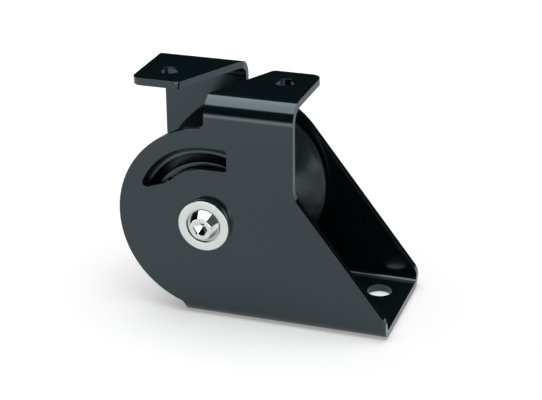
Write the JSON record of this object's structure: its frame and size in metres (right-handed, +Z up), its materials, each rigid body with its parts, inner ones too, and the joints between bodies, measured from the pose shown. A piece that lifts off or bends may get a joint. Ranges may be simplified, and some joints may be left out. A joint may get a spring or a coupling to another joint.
{
  "type": "over-the-top block",
  "caption": "Marine over-the-top block: a wide black sheave on a roller bearing in a folded black sheet cage, whose arms fold over the sheave as mounting tabs.",
  "frame": {"origin": "on the underside of the base, straight below the axle, halfway between the side plates", "axes": "+Z up, +X along the base towards its long end with the two bolt holes, Y along the axle, with the near side plate at -Y"},
  "size_m": [0.1179, 0.07, 0.0992],
  "materials": {
    "black_sheet": "satin",
    "black_anodised": "hard anodised, satin",
    "stainless": "satin",
    "polished_steel": "polished",
    "black_acetal": "turned",
    "roller_plastic": "ground"
  },
  "bodies": {
    "cage": {"cage": "black_sheet", "axle": "stainless", "axle_cap_near": "stainless", "axle_cap_far": "stainless", "axle_screw_near": "polished_steel", "axle_screw_far": "polished_steel"},
    "sheave": {"sheave": "black_anodised", "thrust_ring_near": "black_acetal", "thrust_ring_far": "black_acetal"},
    "roller_set": {"roller_retainer": "black_acetal", "roller_01": "roller_plastic", "roller_02": "roller_plastic", "roller_03": "roller_plastic", "roller_04": "roller_plastic", "roller_05": "roller_plastic", "roller_06": "roller_plastic", "roller_07": "roller_plastic", "roller_08": "roller_plastic", "roller_09": "roller_plastic", "roller_10": "roller_plastic", "roller_11": "roller_plastic", "roller_12": "roller_plastic", "roller_13": "roller_plastic", "roller_14": "roller_plastic"}
  },
  "joints": [
    {"name": "sheave_turn", "type": "hinge", "parent": "cage", "child": "sheave", "pos_m": [0, 0, 0.0436], "axis": [0, 1, 0], "continuous": true},
    {"name": "roller_set_turn", "type": "hinge", "parent": "cage", "child": "roller_set", "pos_m": [0, 0, 0.0436], "axis": [0, 1, 0], "continuous": true}
  ],
  "couplings": [
    {"joint": "roller_set_turn", "follows": "sheave_turn", "ratio": 0.5946}
  ]
}
